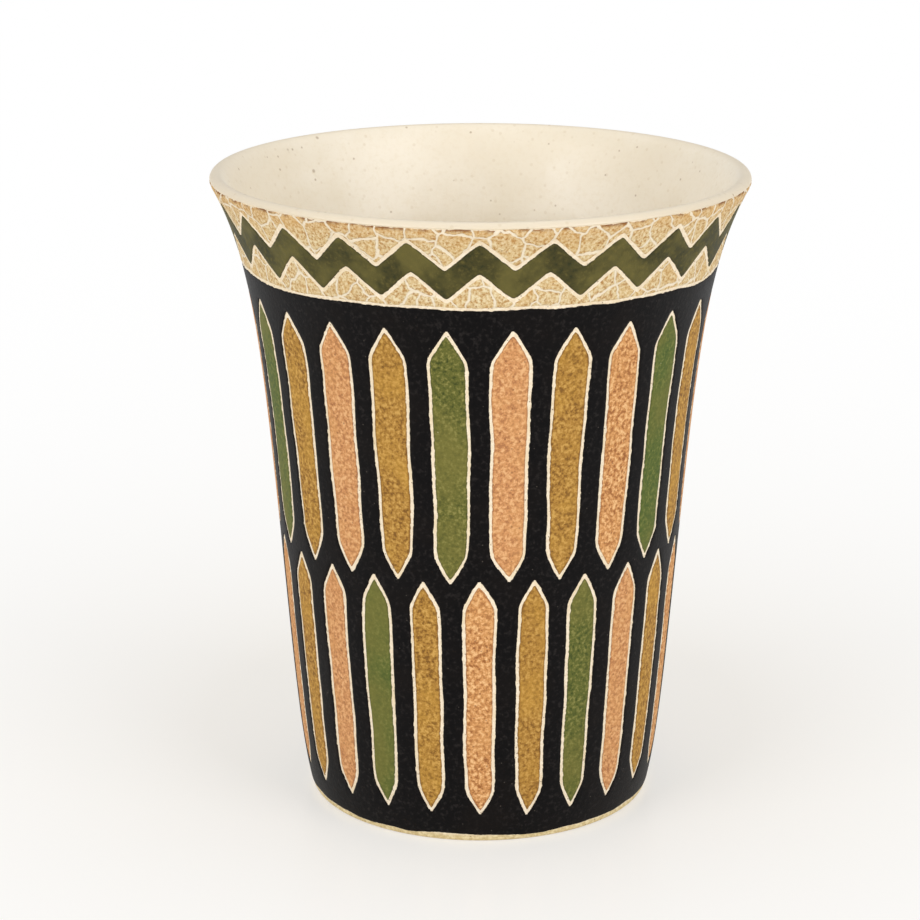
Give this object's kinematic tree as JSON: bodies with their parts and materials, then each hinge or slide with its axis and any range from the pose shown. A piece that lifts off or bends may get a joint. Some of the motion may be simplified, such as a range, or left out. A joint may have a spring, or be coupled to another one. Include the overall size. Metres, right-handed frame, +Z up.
{
  "type": "ceramic cup",
  "caption": "Handleless ceramic tumbler with a flared lip, pale glaze inside, and coloured slip panels outlined in bare clay on a black ground, for drinks.",
  "frame": {"origin": "centre of the foot, on the surface that the cup stands on", "axes": "+Z up along the axis on which the cup was turned, -Y towards the front of the picture"},
  "size_m": [0.09, 0.09, 0.1086],
  "materials": {
    "clay": "bare fired cream clay, dry and fine-grained",
    "liner_glaze": "satin-matt cream glaze with sparse small brown specks",
    "sand_slip": "dry, granular sand-coloured slip",
    "olive_slip": "matt dark olive slip, slightly mottled",
    "black_slip": "satin black slip with few pale specks",
    "salmon_slip": "dry salmon slip, mottled, darker along its edges",
    "ochre_slip": "dry ochre slip, mottled, darker along its edges",
    "green_slip": "matt leaf-green slip, softly clouded, darker along its edges"
  },
  "bodies": {
    "root": {"clay_body": "clay", "liner_glaze": "liner_glaze", "sand_band_upper": "sand_slip", "green_zigzag": "olive_slip", "sand_band_lower": "sand_slip", "black_ground": "black_slip", "salmon_panel_lower_01": "salmon_slip", "ochre_panel_lower_02": "ochre_slip", "green_panel_lower_03": "green_slip", "salmon_panel_lower_04": "salmon_slip", "ochre_panel_lower_05": "ochre_slip", "salmon_panel_lower_06": "salmon_slip", "green_panel_lower_07": "green_slip", "ochre_panel_lower_08": "ochre_slip", "salmon_panel_lower_09": "salmon_slip", "ochre_panel_lower_10": "ochre_slip", "green_panel_lower_11": "green_slip", "salmon_panel_lower_12": "salmon_slip", "ochre_panel_lower_13": "ochre_slip", "salmon_panel_lower_14": "salmon_slip", "green_panel_lower_15": "green_slip", "ochre_panel_lower_16": "ochre_slip", "salmon_panel_lower_17": "salmon_slip", "ochre_panel_lower_18": "ochre_slip", "green_panel_lower_19": "green_slip", "salmon_panel_lower_20": "salmon_slip", "ochre_panel_lower_21": "ochre_slip", "salmon_panel_lower_22": "salmon_slip", "green_panel_lower_23": "green_slip", "ochre_panel_lower_24": "ochre_slip", "salmon_panel_upper_01": "salmon_slip", "ochre_panel_upper_02": "ochre_slip", "salmon_panel_upper_03": "salmon_slip", "green_panel_upper_04": "green_slip", "ochre_panel_upper_05": "ochre_slip", "salmon_panel_upper_06": "salmon_slip", "ochre_panel_upper_07": "ochre_slip", "green_panel_upper_08": "green_slip", "salmon_panel_upper_09": "salmon_slip", "ochre_panel_upper_10": "ochre_slip", "salmon_panel_upper_11": "salmon_slip", "green_panel_upper_12": "green_slip", "ochre_panel_upper_13": "ochre_slip", "salmon_panel_upper_14": "salmon_slip", "ochre_panel_upper_15": "ochre_slip", "green_panel_upper_16": "green_slip", "salmon_panel_upper_17": "salmon_slip", "ochre_panel_upper_18": "ochre_slip", "salmon_panel_upper_19": "salmon_slip", "green_panel_upper_20": "green_slip", "ochre_panel_upper_21": "ochre_slip", "salmon_panel_upper_22": "salmon_slip", "ochre_panel_upper_23": "ochre_slip", "green_panel_upper_24": "green_slip"}
  },
  "joints": []
}
